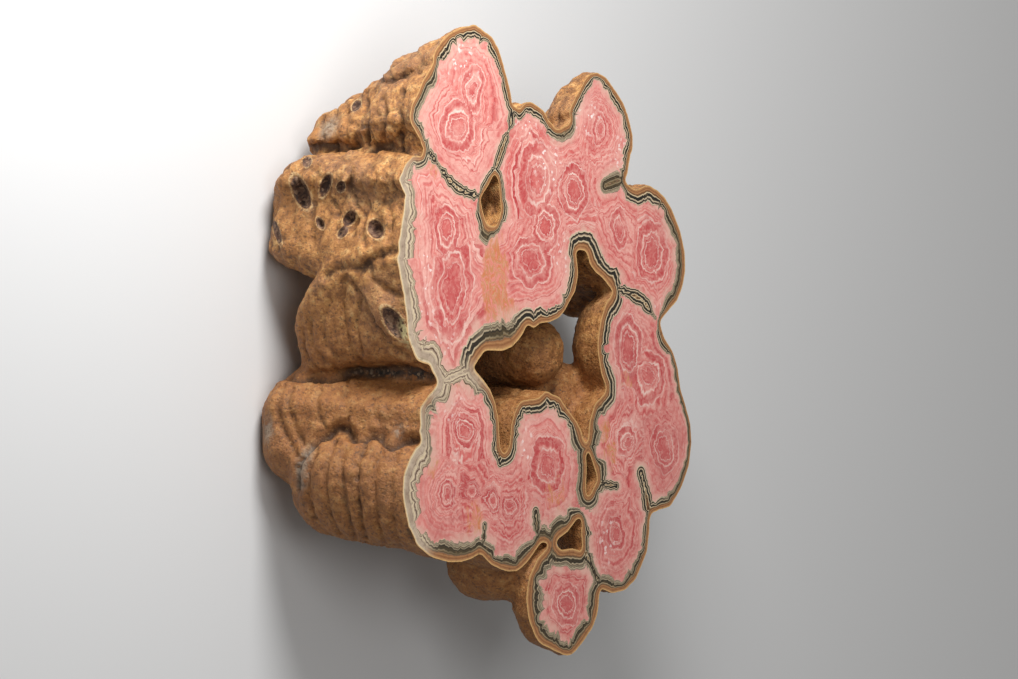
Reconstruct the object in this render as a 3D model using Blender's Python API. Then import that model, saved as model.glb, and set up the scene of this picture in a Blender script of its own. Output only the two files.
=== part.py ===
"""A cluster of rhodochrosite stalactites that grew together and was sawn across in one plane.

The part lies on its back, with the sawn face up and level. It is one solid. X runs across the
sawn face, Y runs up it as it is shown upright, and Z is the depth of the stalactites, from the
surface that their far ends rest on to the sawn face.

Every stalactite is given by the outline of its cut end, in millimetres on the sawn face from
the left edge and the foot of the cluster, and by how its section moves and changes further back.
"""

import math
from collections import namedtuple

import bmesh
import bpy
import numpy as np
from mathutils import Vector, noise
from mathutils.bvhtree import BVHTree

MM = 0.001
HEIGHT_OF_FACE = 58.5  # from the surface below to the sawn face
ABOVE_FACE = 6.0  # how far the rough solid passes the sawn face before it is cut
BELOW_REST = 1.5  # how far the longest stalactites pass the resting level before it is cut

RING_STEP = 1.5  # distance between the sections of one stalactite
POINTS_ROUND = 72  # points on one section
CURVE_STEPS = 8  # steps between two points of an outline
TIP_RINGS = 14  # sections on a rounded end
TIP_POWER = 2.4  # 2 ends a stalactite in an ellipse, and more is blunter
TIP_CROWDING = 1.5  # how much closer the sections lie towards the very end
VOXEL = 1.1  # grain of the joined solid
TRIANGLES = 9400
SNAP_TO_FACE = 0.25  # points this near a cut plane are put on it after thinning

FOLD_SLANT = 0.22  # how far a ridge runs askew, as a share of the spacing
FOLD_WAVE = 0.1
FOLD_GROWS_OVER = 3.0  # depth over which the first ridge reaches its height
LUMP_SEED = 11  # starts the noise that the lumps wander by, so that each run gives the same
LUMP_WIDTH = 11.0
LUMP_LENGTH = 7.5  # along a stalactite, so that lumps lie across it
LUMP_HEIGHT = 2.0
LUMP_LEVEL = 0.35  # share of the height that stands outside the plain stalactite
LUMPY_ABOVE = 132.0  # the upper stalactites are cobbled, and the lower ones have low lumps
CALM_BELOW = 118.0
LOW_LUMPS = 0.3
WANDER_WIDTH = 14.0  # the lumps' places wander over this width
WANDER_SHARE = 0.35
GRAIN_WIDTH = 4.2
GRAIN_HEIGHT = 0.45
CALM_NEAR_FACE = 5.0  # lumps fade out towards the sawn face over this depth
CALM_SHARE = 0.25

STONE_COLOUR = (0.80, 0.30, 0.32, 1.0)
STONE_ROUGHNESS = 0.5

# outline: points on the sawn face. sections: (depth, move in x, move in y, width, height), the
# last two as shares of the outline. One whose sections start below the face never reached it.
# tip: the length that is rounded off at a free end. folds: (spacing, height, first) of the
# ridges that run round it.
Stalactite = namedtuple("Stalactite", "name outline sections tip folds")


def round_outline(middle, radius):
    """The outline of a stalactite that ends before the saw cut: a circle, as eight points."""
    turns = [math.tau * k / 8 for k in range(8)]
    return [(middle[0] + radius * math.cos(a), middle[1] + radius * math.sin(a)) for a in turns]


STALACTITES = [
    Stalactite(
        "crown",
        [
            (37.5, 202), (42.5, 200.5), (48, 198), (51.5, 194), (54, 189.5), (56, 184.5),
            (57.5, 180), (58.5, 176), (57.5, 170), (54.5, 164.5), (51, 159.5), (49, 155),
            (46, 151), (42, 147.5), (38, 147.5), (33, 149.5), (27, 151.5), (22, 155.5),
            (17.5, 159.5), (12.5, 162), (9.5, 166.5), (5.5, 171), (6, 175.5), (9, 179),
            (11, 183), (13.5, 185.5), (17, 188), (17, 190.5), (19.5, 195), (24.5, 198.5),
            (31, 200.5),
        ],
        [
            (0, 0, 0, 1, 1),
            (15, -2.5, -2.5, 0.86, 0.84),
            (21, -3, -3.5, 0.84, 0.8),
            (26, -4, -6, 0.68, 0.63),
            (34, -5.5, -7, 0.62, 0.54),
            (44, -7.5, -9, 0.5, 0.4),
            (53, -9, -11, 0.4, 0.3),
        ],
        7,
        (9, 1.6, 4),
    ),
    Stalactite(
        "upper_left",
        [
            (12.5, 160.5), (7, 159.5), (3.5, 157), (0.5, 153.5), (0, 151.5), (3, 148),
            (3, 144.5), (1.5, 139), (0, 133), (-1, 129.5), (0, 124), (9.5, 119), (23.5, 117),
            (36.5, 119), (44, 124), (45, 129.5), (45, 134.5), (44.5, 138.5), (43.5, 141.5),
            (42, 145), (40.5, 147.5), (38.5, 149), (32, 152.5), (24, 156), (18.5, 159.5),
        ],
        [
            (0, 0, 0, 1, 1),
            (14, 0, 0, 1, 1.04),
            (31, -1.5, 0.5, 0.95, 1.04),
            (47, -2, 1.5, 0.92, 0.9),
            (HEIGHT_OF_FACE + BELOW_REST, -2, 0, 0.82, 0.7),
        ],
        13,
        (13, 0.8, 6),
    ),
    Stalactite(
        "lower_left",
        [
            (2, 134.5), (-1, 129.5), (0, 123), (2, 117), (3, 112), (4.5, 106), (5.5, 101),
            (7, 97.5), (9.5, 94.5), (12.5, 93.5), (15.5, 94), (17.5, 91), (19.5, 88.5),
            (23.5, 87.5), (27, 89.5), (31.5, 91), (36, 92), (40, 94), (43.5, 97.5),
            (47, 102.5), (49, 110.5), (48, 120.5), (42.5, 128.5), (31, 134), (15.5, 136.5),
        ],
        [
            (0, 0, 0, 1, 1),
            (12, -1.5, 0, 1, 0.95),
            (28, -2.5, -4, 0.97, 0.82),
            (40, -3.5, -11, 0.87, 0.64),
            (51, -4, -17, 0.74, 0.5),
        ],
        17,
        (17, 0.8, 10),
    ),
    Stalactite(
        "infill",
        [
            (44, 137.5), (40.5, 129.5), (37.5, 117), (38.5, 107.5), (41.5, 99.5), (44.5, 98),
            (50.5, 97.5), (55.5, 98), (59, 99.5), (62.5, 102), (65, 105), (66, 108),
            (63.5, 114), (59, 120.5), (55, 127.5), (53, 133), (50, 137), (47, 137.8),
        ],
        [(0, 0, 0, 1, 1), (25, 0, 1, 0.9, 0.9)],
        12,
        (8, 0.5, 3),
    ),
    Stalactite(
        "upper_middle",
        [
            (67, 178), (70.5, 176.5), (74.5, 175), (77, 172.5), (80, 170), (83, 167.5),
            (87.5, 162), (90.5, 153), (89.5, 142.5), (84, 134.5), (74, 130.5), (62.5, 132),
            (54, 133.5), (50.5, 137), (51.5, 140.5), (53, 143.5), (51.7, 146.5), (52, 149.5),
            (51, 152.5), (49.5, 155), (51, 158.5), (54.5, 164), (57.5, 169.5), (58.5, 175.5),
            (61.5, 175), (64, 177),
        ],
        [(0, 0, 0, 1, 1), (20, 0, -0.5, 0.97, 0.97), (42, 0, -2, 0.85, 0.85)],
        16,
        (10, 0.9, 5),
    ),
    Stalactite(
        "lower_middle",
        [
            (58, 138), (53.5, 133), (54, 128), (56, 122), (59.5, 115.5), (63.5, 110.5),
            (67, 107), (69.5, 104.5), (72.5, 106.5), (77.5, 107), (82, 108), (85.5, 110.5),
            (88, 113.5), (91, 116.5), (92.5, 120.5), (92.5, 124), (91.5, 128), (89.5, 133),
            (84, 138), (72.5, 141),
        ],
        [(0, 0, 0, 1, 1), (18, -1, 0, 1, 0.97), (38, -2, 0, 0.9, 0.85)],
        15,
        (9, 0.8, 4),
    ),
    Stalactite(
        "shoulder",
        [
            (82.5, 168.5), (86, 170), (90, 169.5), (95.5, 166), (102, 159.5), (105.5, 151.5),
            (106, 143.5), (104, 136.5), (98.5, 131), (94.5, 130), (90.5, 132), (84, 136.5),
            (81, 144.5), (79.5, 153), (79, 162),
        ],
        [(0, 0, 0, 1, 1), (34, 0, -1, 0.9, 0.85)],
        15,
        (9, 0.7, 4),
    ),
    Stalactite(
        "upper_right",
        [
            (90, 170), (88, 174), (90, 178), (93, 181.5), (95.5, 184.5), (98, 187),
            (102, 188), (106, 187), (109, 185), (112, 182), (115.5, 179), (118, 175.5),
            (120, 171), (121.5, 166.5), (121, 162), (119.5, 158.5), (119, 155.5),
            (116.5, 152.5), (110, 150), (102, 151), (94.5, 157), (91, 163.5),
        ],
        [(0, 0, 0, 1, 1), (7, 0, -0.5, 0.99, 0.98), (20, 0, -3, 0.95, 0.9)],
        18,
        (8, 0.6, 6),
    ),
    Stalactite(
        "right",
        [
            (104, 147.5), (109, 150.5), (115.5, 151.5), (119.5, 151), (123, 149.5),
            (127.5, 146), (131, 138), (131, 126.5), (127.5, 118), (121, 116), (114.5, 116.5),
            (109.5, 118), (106, 121), (102, 123), (98.5, 126), (97.5, 130), (94.5, 131),
            (96.5, 136.5), (99.5, 142.5),
        ],
        [
            (0, 0, 0, 1, 1),
            (20, 0, 0, 0.98, 0.98),
            (40, 1, 1, 0.88, 0.86),
            (HEIGHT_OF_FACE + BELOW_REST, 1.5, 1.5, 0.74, 0.72),
        ],
        13,
        (9, 0.9, 5),
    ),
    Stalactite(
        "far_right",
        [
            (121.5, 149), (125, 150), (129, 151.5), (132, 150.5), (135.5, 149.5), (139, 147),
            (143, 142.5), (146, 138), (148.5, 133), (149.5, 128), (149.5, 123), (148, 118.5),
            (145.5, 114.5), (142, 111.5), (138.5, 109), (134.5, 108), (130, 110),
            (126, 113.5), (121.5, 116), (116.5, 123.5), (115.5, 134.5), (117.5, 144.5),
        ],
        [(0, 0, 0, 1, 1), (30, -0.5, 0, 0.98, 1), (47, -1, 0, 0.95, 0.97)],
        15,
        (9, 0.8, 5),
    ),
    Stalactite(
        "pendant",
        [
            (122.5, 117), (117.5, 117), (111, 116), (107.5, 113), (105, 108.5), (103.5, 103.5),
            (103, 98.5), (104, 93.5), (106, 88.5), (109, 84.5), (115.5, 80.5), (124.5, 80.5),
            (133, 85), (135, 94.5), (133, 104.5), (129, 111.5), (126, 115),
        ],
        [(0, 0, 0, 1, 1), (17.5, 0, -0.5, 1, 0.98)],
        16,
        (9, 0.3, 5),
    ),
    Stalactite(
        "pendant_side",
        [
            (127.5, 113), (130.5, 109), (133.5, 107), (136, 106), (138, 102), (142, 98.5),
            (144.5, 94.5), (146, 90), (147, 85), (148.5, 81), (145.5, 74), (132.5, 72.5),
            (122, 77), (118.5, 86.5), (120.5, 99.5),
        ],
        [(0, 0, 0, 1, 1), (22, 0, 0, 0.95, 0.95)],
        17,
        (8, 0.5, 5),
    ),
    Stalactite(
        "pendant_middle",
        [
            (109, 84.5), (105, 83), (101.5, 80.5), (99, 75.5), (98, 70), (99, 64.5),
            (101.5, 59.5), (104, 55.5), (110, 51.5), (120.5, 50), (129, 52.5), (132.5, 61),
            (133, 72.5), (129, 80.5), (119.5, 85),
        ],
        [(0, 0, 0, 1, 1), (18, 0, 0, 1, 1)],
        16,
        (9, 0.4, 5),
    ),
    Stalactite(
        "pendant_right",
        [
            (147.5, 82.5), (150.5, 78), (152.5, 73), (153, 67.5), (152, 62.5), (150.5, 58),
            (148, 54), (144.5, 50), (141.5, 47), (136.5, 46.5), (132.5, 45), (130, 47.5),
            (125.5, 53), (124.5, 62.5), (127.5, 74), (135, 82),
        ],
        [(0, 0, 0, 1, 1), (20, -1, 1, 0.95, 0.95)],
        16,
        (8, 0.4, 5),
    ),
    Stalactite(
        "pendant_low",
        [
            (103.5, 55.5), (99, 51), (96, 46.5), (94.5, 42), (94.5, 37), (96, 33), (98.5, 29),
            (101.5, 25), (104.5, 21.5), (110, 19.5), (116.5, 20), (121.5, 22.5), (125, 26),
            (128.5, 31.5), (130, 37), (130.5, 43.5), (130, 48.5), (124.5, 54), (114.5, 56.5),
        ],
        [(0, 0, 0, 1, 1), (19, 0, 1, 0.95, 0.95)],
        16,
        (8, 0.4, 5),
    ),
    Stalactite(
        "bottom_top",
        [
            (36, 92), (30, 90), (23.5, 87.5), (18, 85.5), (13.5, 82.5), (10.5, 79.5),
            (11, 75), (11, 70.5), (10.5, 67), (15.5, 59.5), (28.5, 56.5), (44, 58),
            (54.5, 62), (52, 66.5), (51.5, 72.5), (50.5, 78.5), (47.5, 84.5), (42, 89.5),
        ],
        [
            (0, 0, 0, 1, 1),
            (16, -5, 0, 1, 1.03),
            (35, -10.5, 0, 1.02, 1.2),
            (HEIGHT_OF_FACE + BELOW_REST, -18, 0.5, 1.06, 1.33),
        ],
        19,
        (15, 0.8, 8),
    ),
    Stalactite(
        "bottom_left",
        [
            (10.5, 67), (6, 64), (3.5, 60.5), (2, 56.5), (2, 51.5), (3, 47.5), (4.5, 43.5),
            (7, 39), (11, 35), (17, 32), (24.5, 30.5), (32, 30.5), (38, 31.5), (42, 33.5),
            (48, 40.5), (49.5, 50), (47, 59.5), (34, 64.5), (21, 66.5),
        ],
        [
            (0, 0, 0, 1, 1),
            (13, -4.5, 3.5, 1, 1),
            (28, -8, 5, 0.97, 0.96),
            (40, -9.5, 5.5, 0.88, 0.88),
            (49.5, -9.5, 5.5, 0.8, 0.8),
        ],
        14,
        (6, 1.0, 4),
    ),
    Stalactite(
        "bottom_low",
        [
            (42, 33.5), (46, 30), (51, 28), (56.5, 27), (62, 27.5), (66, 30), (69.5, 33),
            (73, 36.5), (77, 43.5), (75.5, 53), (66.5, 59.5), (54.5, 62), (45.5, 58),
            (40.5, 50), (38.5, 40.5),
        ],
        [(0, 0, 0, 1, 1), (28, 0, 2, 0.9, 0.9)],
        14,
        (8, 0.6, 5),
    ),
    Stalactite(
        "bottom_right",
        [
            (76, 85), (72, 82.5), (66.5, 82), (62.5, 81.5), (59.5, 78), (57.5, 73),
            (57, 67.5), (54.5, 64), (52, 62), (54.5, 56.5), (59.5, 50), (65, 43.5), (70, 37),
            (75.5, 36.5), (81, 37), (87, 39.5), (91, 42.5), (94.5, 46), (96.5, 51),
            (97, 56.5), (97, 62), (96, 67.5), (94, 72.5), (90.5, 76), (86, 79.5), (82.5, 83),
            (79, 83.5),
        ],
        [(0, 0, 0, 1, 1), (20, 0, 1, 0.98, 1.03), (38, 0, 1, 0.9, 0.95)],
        14,
        (10, 0.5, 5),
    ),
    Stalactite(
        "foot",
        [
            (75, 33.5), (71, 30.5), (68, 27), (66, 22), (65.5, 17.5), (66.5, 12.5), (69, 8),
            (72.5, 4), (77.5, 2), (83, 0.5), (88, -0.5), (93, 2), (97.5, 6), (101.5, 10),
            (103.5, 15.5), (103.5, 22), (101, 27), (96, 31.5), (90, 34), (84, 33.5), (80, 35),
        ],
        [(0, 0, 0, 1, 1), (12, 0, 0, 1, 1)],
        11.5,
        (8, 0.3, 5),
    ),
    Stalactite(
        "behind_hollow",
        round_outline((87, 97), 11.5),
        [(5, 0, 0, 1, 1), (24, -1, 1, 1.05, 1), (44, -2, 2, 0.9, 0.9)],
        12,
        (7, 0.7, 9),
    ),
    Stalactite(
        "behind_pendant",
        round_outline((104, 79.5), 16.5),
        [
            (10, 0, 0, 1, 1),
            (34, 1, -1, 1, 1),
            (HEIGHT_OF_FACE + BELOW_REST, 2, -3, 0.85, 0.8),
        ],
        15,
        (9, 0.9, 12),
    ),
    Stalactite(
        "under_bottom",
        round_outline((69, 31), 13.8),
        [(3, 0, 0, 1, 1), (31, 0, 0, 0.95, 1)],
        13,
        (8, 0.4, 10),
    ),
]

# A short broken stalactite on the left side: its root and its broken end, as (x, y, depth), and
# the way that the break faces.
STUB_ROOT = (5.0, 119.0, 13.5)
STUB_END = (2.6, 107.0, 4.9)
STUB_BREAK = Vector((-0.7, -0.3, 0.65))
STUB_ROOT_RADIUS = 6.0
STUB_END_RADIUS = 4.6
STUB_SIDES = 24

# Pits in the left side: (height, depth, half height, half length, how deep, rim).
PIT_BOWL = 0.7  # 1 is a plain bowl, and less has steeper walls
PIT_RIM_WIDTH = 0.45  # as a share of the pit's half width
LEFT_OF_ALL = -60.0
PITS = [
    (148.5, 41, 5.6, 2.6, 2.4, 0.5),
    (150, 30, 4.0, 1.8, 1.8, 0.5),
    (150.5, 24, 2.0, 2.0, 1.6, 0.8),
    (158, 45, 1.8, 1.8, 1.4, 0.4),
    (138, 32, 2.2, 2.2, 1.6, 0.6),
    (139, 20.5, 4.2, 3.2, 2.0, 0.5),
    (136.5, 9.5, 3.6, 2.8, 2.2, 0.4),
    (176, 23.5, 2.2, 2.0, 1.4, 0.4),
]


def clear_scene():
    for thing in list(bpy.data.objects):
        bpy.data.objects.remove(thing, do_unlink=True)


def stone(name, colour):
    material = bpy.data.materials.new(name)
    material.use_nodes = True
    surface = material.node_tree.nodes["Principled BSDF"]
    surface.inputs["Base Color"].default_value = colour
    surface.inputs["Roughness"].default_value = STONE_ROUGHNESS
    surface.inputs["Metallic"].default_value = 0.0
    return material


def smooth_loop(points, count):
    """A closed Catmull-Rom curve through the points, as count points evenly spaced along it."""
    points = np.array(points, float)
    before, after = np.roll(points, 1, axis=0), np.roll(points, -1, axis=0)
    after_next = np.roll(points, -2, axis=0)
    steps = np.linspace(0, 1, CURVE_STEPS, endpoint=False)[:, None, None]
    fine = 0.5 * (
        2 * points
        + (after - before) * steps
        + (2 * before - 5 * points + 4 * after - after_next) * steps**2
        + (3 * points - before - 3 * after + after_next) * steps**3
    )
    fine = fine.transpose(1, 0, 2).reshape(-1, 2)
    closed = np.vstack([fine, fine[:1]])
    along = np.concatenate([[0], np.cumsum(np.linalg.norm(np.diff(closed, axis=0), axis=1))])
    wanted = np.linspace(0, along[-1], count, endpoint=False)
    return np.stack([np.interp(wanted, along, closed[:, k]) for k in (0, 1)], axis=1)


def rounding(distance_from_end, length):
    """1 along a stalactite, falling to 0 at its end."""
    into_tip = min(max(1 - distance_from_end / length, 0), 1)
    return (1 - into_tip**TIP_POWER) ** (1 / TIP_POWER)


def fold(depth, angles, folds):
    """How far the skin stands out in the ridges that run round a stalactite."""
    spacing, height, first = folds
    if depth < first:
        return np.zeros_like(angles)
    slant = FOLD_SLANT * np.sin(angles + spacing) + FOLD_WAVE * np.sin(3 * angles)
    ridge = np.abs(np.sin(math.pi * ((depth - first) / spacing + slant)))
    return height * (ridge - 1) * min((depth - first) / FOLD_GROWS_OVER, 1)


def rings_of(stalactite):
    """The sections of a stalactite, from above the sawn face or its own tip to its far end."""
    outline = smooth_loop(stalactite.outline, POINTS_ROUND)
    middle = outline.mean(axis=0)
    arms = outline - middle
    angles = np.arctan2(arms[:, 1], arms[:, 0])
    reach = np.linalg.norm(arms, axis=1, keepdims=True)
    sections = np.array(stalactite.sections, float)
    start, end = sections[0, 0], sections[-1, 0]
    turns = np.linspace(0, math.pi / 2, TIP_RINGS)
    rounded = stalactite.tip * (1 - np.cos(turns) ** TIP_CROWDING)
    straight = np.arange(start + stalactite.tip, end - stalactite.tip, RING_STEP)
    sawn = start == 0
    if sawn:
        front = [-ABOVE_FACE, *np.arange(0, end - stalactite.tip, RING_STEP)]
    else:
        front = [*(start + rounded[1:]), *straight[1:]]
    for depth in [*front, *(end - rounded[:0:-1])]:
        within = max(depth, 0)
        move_x, move_y, wide, high = (
            np.interp(within, sections[:, 0], column) for column in sections.T[1:]
        )
        size = rounding(end - within, stalactite.tip)
        if not sawn:
            size *= rounding(depth - start, stalactite.tip)
        out = fold(within, angles, stalactite.folds)[:, None] / reach
        ring = middle + (move_x, move_y) + arms * (wide, high) * (size * (1 + out))
        yield ring, depth


def add_tube(mesh, rings):
    """Skins a row of rings and closes both ends."""
    rows = []
    for ring, depth in rings:
        height = HEIGHT_OF_FACE - depth
        rows.append([mesh.verts.new((x * MM, y * MM, height * MM)) for x, y in ring])
    for upper, lower in zip(rows, rows[1:]):
        for k in range(len(upper)):
            following = (k + 1) % len(upper)
            mesh.faces.new((upper[k], lower[k], lower[following], upper[following]))
    mesh.faces.new(rows[0])
    mesh.faces.new(rows[-1][::-1])


def place(x, y, depth):
    return Vector((x * MM, y * MM, (HEIGHT_OF_FACE - depth) * MM))


def add_stub(mesh):
    root, end = place(*STUB_ROOT), place(*STUB_END)
    along = end - root
    turned = along.to_track_quat("Z", "Y").to_matrix().to_4x4()
    turned.translation = (root + end) / 2
    made = bmesh.ops.create_cone(
        mesh,
        cap_ends=True,
        segments=STUB_SIDES,
        radius1=STUB_ROOT_RADIUS * MM,
        radius2=STUB_END_RADIUS * MM,
        depth=along.length,
        matrix=turned,
    )
    for vertex in made["verts"]:
        if (vertex.co - end).length < (vertex.co - root).length:
            vertex.co -= along * ((vertex.co - end).dot(STUB_BREAK) / along.dot(STUB_BREAK))


def rough_solid():
    mesh = bmesh.new()
    for stalactite in STALACTITES:
        add_tube(mesh, rings_of(stalactite))
    add_stub(mesh)
    bmesh.ops.recalc_face_normals(mesh, faces=mesh.faces)
    data = bpy.data.meshes.new("rhodochrosite_cluster")
    mesh.to_mesh(data)
    mesh.free()
    cluster = bpy.data.objects.new("rhodochrosite_cluster", data)
    bpy.context.collection.objects.link(cluster)
    return cluster


def bake_modifiers(thing):
    """Replaces the object's mesh with its mesh after modifiers."""
    graph = bpy.context.evaluated_depsgraph_get()
    finished = bpy.data.meshes.new_from_object(thing.evaluated_get(graph))
    thing.modifiers.clear()
    thing.data = finished


def join_by_voxels(cluster):
    remesh = cluster.modifiers.new("join", "REMESH")
    remesh.mode = "VOXEL"
    remesh.voxel_size = VOXEL * MM
    bake_modifiers(cluster)


def keep_outer_skin(cluster):
    """Drops every skin but the largest, such as the walls of a gap that is closed all round."""
    mesh = bmesh.new()
    mesh.from_mesh(cluster.data)
    left = set(mesh.verts)
    pieces = []
    while left:
        start = left.pop()
        piece, edge_of_piece = {start}, [start]
        while edge_of_piece:
            vertex = edge_of_piece.pop()
            for edge in vertex.link_edges:
                other = edge.other_vert(vertex)
                if other in left:
                    left.remove(other)
                    piece.add(other)
                    edge_of_piece.append(other)
        pieces.append(piece)
    outer = max(pieces, key=len)
    spare = [vertex for piece in pieces if piece is not outer for vertex in piece]
    bmesh.ops.delete(mesh, geom=spare, context="VERTS")
    mesh.to_mesh(cluster.data)
    mesh.free()


def raise_lumps(cluster):
    """Rounded lumps with creases between them, and a finer grain, on the skin."""
    noise.seed_set(LUMP_SEED)
    data = cluster.data
    stretch = Vector((1 / LUMP_WIDTH, 1 / LUMP_WIDTH, 1 / LUMP_LENGTH)) / MM
    normals = [vertex.normal.copy() for vertex in data.vertices]
    for vertex, normal in zip(data.vertices, normals):
        place_now = vertex.co
        depth = HEIGHT_OF_FACE - place_now.z / MM
        nearness = min(max(1 - depth / CALM_NEAR_FACE, 0), 1)
        strength = 1 - (1 - CALM_SHARE) * nearness
        wander = noise.noise_vector(place_now / (WANDER_WIDTH * MM)) * WANDER_SHARE
        nearest = noise.voronoi(place_now * stretch + wander)[0][0]
        lumpy = (place_now.y / MM - CALM_BELOW) / (LUMPY_ABOVE - CALM_BELOW)
        lumpy = LOW_LUMPS + (1 - LOW_LUMPS) * min(max(lumpy, 0), 1)
        lump = LUMP_HEIGHT * lumpy * (LUMP_LEVEL - nearest**2)
        grain = GRAIN_HEIGHT * noise.noise(place_now / (GRAIN_WIDTH * MM))
        vertex.co = place_now + normal * (lump + grain) * strength * MM
    data.update()


def press_pits(cluster):
    """Each pit is pressed into the skin where a line from the left side meets it."""
    data = cluster.data
    tree = BVHTree.FromPolygons(
        [vertex.co for vertex in data.vertices],
        [polygon.vertices for polygon in data.polygons],
    )
    for height, depth, half_height, half_length, deep, rim in PITS:
        start = place(LEFT_OF_ALL, height, depth)
        spot, normal, _, _ = tree.ray_cast(start, Vector((1, 0, 0)))
        farthest = 3 * max(half_height, half_length)
        for vertex in data.vertices:
            away = (vertex.co - spot) / MM
            if away.length > farthest:
                continue
            reach = math.hypot(away.y / half_height, away.z / half_length)
            if reach < 1:
                push = rim - (deep + rim) * (1 - reach**2) ** PIT_BOWL
            else:
                push = rim * math.exp(-(((reach - 1) / PIT_RIM_WIDTH) ** 2))
            vertex.co += normal * push * MM
    data.update()


def saw(cluster):
    """The sawn face above, and the small worn flats that the longest stalactites rest on below."""
    mesh = bmesh.new()
    mesh.from_mesh(cluster.data)
    for level, outward in ((HEIGHT_OF_FACE, 1), (0.0, -1)):
        cut = bmesh.ops.bisect_plane(
            mesh,
            geom=[*mesh.verts, *mesh.edges, *mesh.faces],
            plane_co=(0, 0, level * MM),
            plane_no=(0, 0, outward),
            clear_outer=True,
        )
        rim = [item for item in cut["geom_cut"] if isinstance(item, bmesh.types.BMEdge)]
        bmesh.ops.triangle_fill(mesh, edges=rim, use_beauty=True, normal=(0, 0, outward))
    bmesh.ops.recalc_face_normals(mesh, faces=mesh.faces)
    mesh.to_mesh(cluster.data)
    mesh.free()


def thin_out(cluster):
    triangles = sum(len(polygon.vertices) - 2 for polygon in cluster.data.polygons)
    decimate = cluster.modifiers.new("thin", "DECIMATE")
    decimate.ratio = TRIANGLES / triangles
    decimate.use_collapse_triangulate = True
    bake_modifiers(cluster)
    for vertex in cluster.data.vertices:
        for level in (0.0, HEIGHT_OF_FACE):
            if abs(vertex.co.z / MM - level) < SNAP_TO_FACE:
                vertex.co.z = level * MM


def centre(cluster):
    """The origin is under the middle of the part, on the surface that it rests on."""
    places = np.array([vertex.co for vertex in cluster.data.vertices])
    low, high = places.min(axis=0), places.max(axis=0)
    middle = (low + high) / 2
    for vertex in cluster.data.vertices:
        vertex.co -= Vector((middle[0], middle[1], 0))


def main():
    clear_scene()
    cluster = rough_solid()
    join_by_voxels(cluster)
    keep_outer_skin(cluster)
    raise_lumps(cluster)
    press_pits(cluster)
    saw(cluster)
    thin_out(cluster)
    centre(cluster)
    cluster.data.materials.clear()
    cluster.data.materials.append(stone("rhodochrosite", STONE_COLOUR))


main()
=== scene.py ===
"""The looks of a sawn cluster of rhodochrosite stalactites that lies on its back.

Lengths are in millimetres where no comment says otherwise, and places on the sawn face are
measured from the left edge and the foot of the cluster.
"""

import math
from collections import namedtuple

import bpy
import numpy as np
from mathutils import Matrix, Vector, kdtree, noise
from mathutils.bvhtree import BVHTree


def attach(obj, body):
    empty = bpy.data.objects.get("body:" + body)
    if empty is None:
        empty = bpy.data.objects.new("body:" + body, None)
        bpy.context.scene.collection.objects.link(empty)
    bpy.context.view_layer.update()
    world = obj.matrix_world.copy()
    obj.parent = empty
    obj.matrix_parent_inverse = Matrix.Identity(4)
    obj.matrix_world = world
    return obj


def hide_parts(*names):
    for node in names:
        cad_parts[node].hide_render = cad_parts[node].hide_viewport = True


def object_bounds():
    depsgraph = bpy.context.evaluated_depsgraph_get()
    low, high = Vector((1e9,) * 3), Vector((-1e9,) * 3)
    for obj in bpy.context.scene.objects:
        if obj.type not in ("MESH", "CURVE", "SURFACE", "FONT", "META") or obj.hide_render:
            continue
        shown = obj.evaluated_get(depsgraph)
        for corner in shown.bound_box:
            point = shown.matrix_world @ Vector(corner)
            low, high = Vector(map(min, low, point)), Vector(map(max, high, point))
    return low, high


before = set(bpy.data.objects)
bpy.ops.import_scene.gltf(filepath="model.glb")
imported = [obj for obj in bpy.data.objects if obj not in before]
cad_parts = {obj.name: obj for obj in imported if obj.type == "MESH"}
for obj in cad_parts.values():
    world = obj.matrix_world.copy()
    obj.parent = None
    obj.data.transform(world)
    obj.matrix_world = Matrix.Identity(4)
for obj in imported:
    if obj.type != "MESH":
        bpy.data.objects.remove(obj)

cad_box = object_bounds()

MM = 0.001
FACE = cad_box[1].z
LEFT_AND_FOOT = Vector((73.7, 100.7, 0))  # from the left edge and the foot to the origin
CORNER = np.array(LEFT_AND_FOOT[:2])  # the same in the plane of the cut

# How the fine skin is made
RAISED = 4.0  # the sides are carried this far past the sawn face before it is cut
FINE_GRAIN = 0.9
SMOOTHING_ROUNDS = 9
SIDE_TRIANGLES = 124000
FACE_GRID = 0.9
FLAT_BELOW = 0.35  # what is nearer the ground than this lies on it
CUT_WITHIN = 0.01  # faces this near the cut are carried past it
LEVEL_WITHIN = 0.002  # points this near the cut lie on it
SAW_MARGIN = 1.1  # the size of the saw's block as a share of the cluster's
SHARP_FROM = 50  # degrees between two faces where the shading breaks

# Lumps, wrinkles and grain of the skin
SKIN_SEED = 11
LUMP_SIZE = Vector((11.0, 11.0, 7.5))
LUMP_CREASE = 0.8
CREASE_WIDTH = 0.22
WANDER_WIDTH = 14.0
WANDER_SHARE = 0.35
KNOB_SIZE = 4.4
KNOB_HEIGHT = 1.0
KNOB_WANDER_WIDTH = 5
KNOB_WANDER = 0.7
KNOB_PATCHES = 19  # how wide the places with more and with fewer knobs are
WRINKLE_SIZE = Vector((9.0, 9.0, 1.9))
WRINKLE_HEIGHT = 0.5
WRINKLE_WANDER_WIDTH = 12
WRINKLE_WANDER = 0.9
GRAIN_SIZE = 1.9
GRAIN_HEIGHT = 0.30
CALM_NEAR_FACE = 3.0
CALM_SHARE = 0.3  # how much of the relief is left at the cut itself
CREASE_SHADE = 0.45  # how much painted shade creases, gaps between knobs and wrinkles get for their depth
GAP_SHADE = 1.3
WRINKLE_SHADE = 1.2
LUMPY_FROM = 0.018  # in metres up from the middle: below it the skin turns darker and more orange
ORANGE_WITHIN = 0.03  # and this many metres lower it is fully so

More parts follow.
